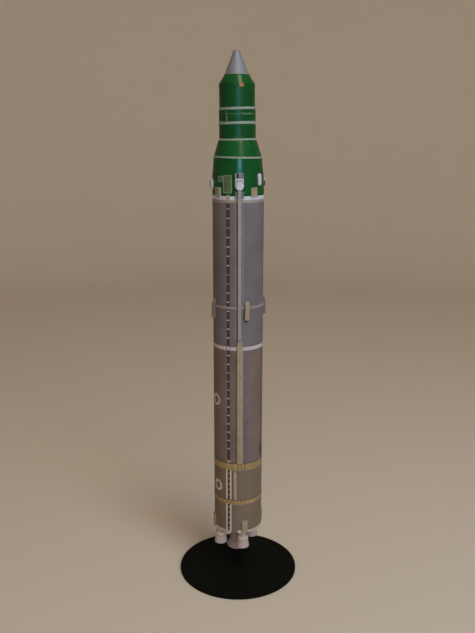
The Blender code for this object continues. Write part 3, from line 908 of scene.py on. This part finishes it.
def make_wedge(node, slope, finish, slot, shade, wall, edge=CARD_EDGE, tilt=0.0):
    """A box whose outer face slopes in at the top. Its underside and both side walls take finishes of their
    own, used to paint the shade under it and beside it.
    """
    angle = facing(node)
    across, up, outward = skin_axes(angle)
    width, low, high, reach = local_size(node, angle)
    setback, drop = slope
    inside = BODY_RADIUS - SUNK
    outline = [(inside, low), (reach, low), (reach, high - drop), (reach - setback, high), (inside, high)]
    shape = bmesh.new()
    add_prism(shape, outline, width, (outward, up, -across), Vector())
    for face in shape.faces:
        if face.normal.z < -SQUARE_ON:
            face.material_index = 1
        elif abs(face.normal.dot(across)) > SQUARE_ON:
            face.material_index = 2
    middle = outward * reach + up * (low + high) / 2
    turn = Matrix.Rotation(tilt, 3, outward)
    bmesh.ops.rotate(shape, cent=middle, matrix=turn, verts=shape.verts)
    piece = soften(new_piece(node + "_card", shape), edge, 3)
    return settle(piece, (finish, shade, wall), slot, node)


def mark_face(name, node, marks, finish, slot, sunk=PRINT_SUNK):
    """Printed rectangles on a fitting's outer face: left, right, low and high, in mm from its middle."""
    angle = facing(node)
    across, up, outward = skin_axes(angle)
    _, low, high, reach = local_size(node, angle)
    depth = PRINT_LIFT + sunk
    centre = outward * (reach + PRINT_LIFT - depth / 2) + up * (low + high) / 2
    shape = bmesh.new()
    for left, right, bottom, top in marks:
        corners = ((left, bottom), (right, bottom), (right, top), (left, top))
        outline = [(x * MM, z * MM) for x, z in corners]
        add_prism(shape, outline, depth, (across, up, outward), centre)
    return settle(new_piece(name, shape), finish, slot)


# How far a wedge's outer face goes in, and from how far below its top
FAIRING_SLOPE = (0.3 * MM, 1.1 * MM)
MOTOR_SLOPE = (1.2 * MM, 3.6 * MM)
MOTOR_EDGE = 0.25 * MM
MOTOR_TILTS = {1: radians(-3.2), 3: radians(-3.2)}
POD_ROUNDING = 0.48               # corner of a pod as a part of its width
POD_EDGE = 0.25 * MM
# The dark side of a low pod is painted shade
POD_SUNK = 0.9 * MM               # how deep the dark side of a low pod reaches behind its face


def make_round_fittings(finishes):
    """The four fairings, motors and feet, and the two pairs of pods."""
    tan, cream, white = finishes["tan"], finishes["cream"], finishes["white"]
    for number in range(1, 5):
        fairing = f"tail_fairing_{number}"
        # The fairing's underside is painted black as shade
        make_wedge(fairing, FAIRING_SLOPE, tan, "tan_card", finishes["ink"], tan)
        motor = f"separation_motor_{number}"
        # The motor's underside is painted dark umber, and its side walls a slate darker than its tan face:
        # painted shade
        shade, wall, tilt = finishes["umber"], finishes["slate"], MOTOR_TILTS.get(number, 0.0)
        make_wedge(motor, MOTOR_SLOPE, tan, "tan_card", shade, wall, MOTOR_EDGE, tilt)
        foot = f"bay_foot_{number}"
        make_plate(foot, cream, "tan_card", cream)
        offset = 0.3 if number < 3 else -0.4
        centre = [(offset - 1.45, offset + 1.45, -1.4, 2.4)]
        mark_face(f"{foot}_centre", foot, centre, finishes["gold"], "gold_card")
        sill = [(-1.8, 1.8, -2.6, -1.6)]
        mark_face(f"{foot}_sill", foot, sill, finishes["pale"], "pale_grey_card")
    for number in (1, 2):
        high_pod, low_pod = f"high_pod_{number}", f"low_pod_{number}"
        for pod in (high_pod, low_pod):
            width = local_size(pod, facing(pod))[0]
            corner = POD_ROUNDING * width
            make_plate(pod, white, "white_card", white, corner, edge=POD_EDGE, steps=4)
        # The left part of each low pod's face is painted dark rust: painted shade
        shade = [(-1.88, -0.2, -1.6, 1.6)]
        mark_face(low_pod + "_shade", low_pod, shade, finishes["rust"], "grey_card", sunk=POD_SUNK)


def make_raceways(finishes):
    """The long covers at the front, and the pale strip between the gold bands."""
    tan, cream, tan_grey, strip = (finishes[name] for name in ("tan", "cream", "tan_grey", "strip"))
    shoulder = (0.8 * MM, 1.85 * MM)
    make_plate("raceway_lower", tan, "tan_card", cream, cut=shoulder, cut_at_top=True)
    make_plate("raceway_upper", tan_grey, "tan_card", tan_grey)
    make_plate("lower_strip", strip, "pale_grey_card", strip)
    mark_face("lower_strip_top", "lower_strip", [(-0.9, 0.9, 8.6, 9.9)], tan, "cream_card")
    for side in ("left", "right"):
        make_plate("connector_tab_" + side, finishes["tab"], "pale_grey_card", finishes["tab"])


def make_connector(finishes):
    """The box at the head of the raceway, with the striped one over it."""
    white = finishes["white"]
    lower_corners = (1.2 * MM, 1.8 * MM)
    make_plate("connector_box", white, "white_card", white, corner=0.5 * MM, cut=lower_corners)
    block = [(-1.1, 1.5, -2.4, 1.4)]
    mark_face("connector_block", "connector_box", block, white, "white_card")
    ticks = [(x, x + 0.6, 1.7, 2.4) for x in (-1.6, -0.6, 0.4, 1.3)]
    dots = [(-2.0, -1.5, -1.6 + 1.0 * i, -1.1 + 1.0 * i) for i in range(4)] + [(1.9, 2.3, 0.2, 1.3)]
    mark_face("connector_ticks", "connector_box", ticks + dots, finishes["umber"], "grey_card")

    make_plate("window_box", finishes["pale"], "white_card", finishes["pale"])
    panes = ((-1.68, -0.52, "black"), (-0.52, 1.68, "faint"), (1.68, 2.23, "umber"))
    for number, (left, right, finish) in enumerate(panes, 1):
        pane = [(left, right, -1.2, 1.2)]
        mark_face(f"window_pane_{number}", "window_box", pane, finishes[finish], "grey_card")


# Studio

def make_studio():
    """A pale bowl: a floor that turns up into the same wall all round."""
    inner_radius = 0.3
    floor_radius = 0.95
    bend = 0.35
    wall_top = 1.3
    steps = 16
    profile = [(0.0, 0.0), (inner_radius, 0.0), (floor_radius, 0.0)]
    for i in range(1, steps + 1):
        angle = pi / 2 * i / steps
        profile.append((floor_radius + bend * sin(angle), bend - bend * cos(angle)))
    profile.append((floor_radius + bend, wall_top))
    bowl = turned("studio_bowl", profile, 96)
    for polygon in bowl.data.polygons:
        polygon.use_smooth = True
    # Uncoated paper: a warm, flat pale ground without any shine
    uncoated = {"Base Color": colour("#e9ddcb"), "Roughness": 0.9, "Specular IOR Level": 0.1}
    material = new_material("studio_paper", uncoated)[0]
    bowl.data.materials.append(material)


# The matt lamps light the card but don't show in its shine, and the shine lamps do only that,
# so that each of the two can be set by itself
MATT_LAMPS = (
    # name, angle round the rocket, distance, height, height aimed at, size, power, tint
    ("key", 18, 0.75, 0.85, 0.18, (0.6, 0.6), 1.78, "#ffece7"),
    ("cool", 38, 1.0, 0.5, 0.22, (0.5, 0.5), 3.35, "#90d4ff"),
    ("overhead", 30, 0.36, 1.2, 0.28, (0.3, 0.3), 2.5, "#fff8e0"),
    ("low_fill", 25, 0.9, 0.1, 0.04, (0.4, 0.2), 1.2, "#ffdfc9"),
)
SHINE_LAMPS = (
    ("window", 9, 1.1, 0.4, 0.27, (0.3, 0.05), 4.6, "#7fe0ff"),
    ("upper_window", 22, 0.74, 0.98, 0.28, (0.34, 0.36), 4.6, "#f2ffdc"),
    ("ceiling", 42, 0.36, 1.2, 0.3, (0.24, 0.24), 3.0, "#fbffd6"),
)
ROOM_TINT = "#ffe2da"
ROOM_STRENGTH = 0.152


def make_light(name, place, target, size, power, tint):
    """A soft rectangular lamp, aimed at a point."""
    light = bpy.data.lights.new(name, "AREA")
    light.shape = "RECTANGLE"
    light.size, light.size_y = size
    light.energy = power
    light.color = colour(tint)[:3]
    lamp = bpy.data.objects.new(name, light)
    bpy.context.scene.collection.objects.link(lamp)
    lamp.location = place
    lamp.rotation_euler = (Vector(target) - Vector(place)).to_track_quat("-Z", "Y").to_euler()
    return lamp


def around(angle_degrees, distance, height):
    """A place at an angle round the rocket."""
    angle = radians(angle_degrees)
    return (distance * sin(angle), -distance * cos(angle), height)


def make_lights():
    """Soft light from the right and from above, with a faint even light of the room."""
    for lamps, lights_matt, shines in ((MATT_LAMPS, True, False), (SHINE_LAMPS, False, True)):
        for name, angle, distance, height, aim_height, size, power, tint in lamps:
            lamp = make_light(name, around(angle, distance, height), (0, 0, aim_height), size, power, tint)
            lamp.visible_diffuse = lights_matt
            lamp.visible_glossy = shines

    world = bpy.data.worlds.new("room_light")
    world.use_nodes = True
    background = world.node_tree.nodes["Background"]
    background.inputs["Color"].default_value = colour(ROOM_TINT)
    background.inputs["Strength"].default_value = ROOM_STRENGTH
    bpy.context.scene.world = world
    bpy.context.scene.view_settings.view_transform = "Standard"


def make_camera():
    """The camera that took the photograph."""
    camera = bpy.data.cameras.new("camera")
    camera.sensor_width = SENSOR
    camera.lens = FOCAL_PIXELS * SENSOR / PHOTO_HEIGHT
    view = bpy.data.objects.new("camera", camera)
    bpy.context.scene.collection.objects.link(view)
    view.location = CAMERA_PLACE
    aim = Euler((pi / 2 + CAMERA_PITCH, 0.0, CAMERA_YAW)).to_matrix().to_4x4()
    view.rotation_euler = (aim @ Matrix.Rotation(CAMERA_ROLL, 4, "Z")).to_euler()
    bpy.context.scene.camera = view


def main():
    """The camera, the lamps and the bowl, and then the rocket from the body to the smallest fitting."""
    make_camera()
    make_lights()
    make_studio()
    finishes = make_materials()
    make_sections(finishes)
    make_rings(finishes)
    make_nose(finishes)
    make_stand(finishes)
    make_tail(finishes)
    make_outer_nozzles(finishes)
    make_core_nozzle(finishes)
    make_ladder_lines(finishes)
    make_rails(finishes)
    make_circles(finishes)
    make_seam_lines(finishes)
    make_band_marks(finishes)
    make_joint_marks(finishes)
    make_bay_marks(finishes)
    make_payload_marks(finishes)
    make_round_fittings(finishes)
    make_raceways(finishes)
    make_connector(finishes)


main()
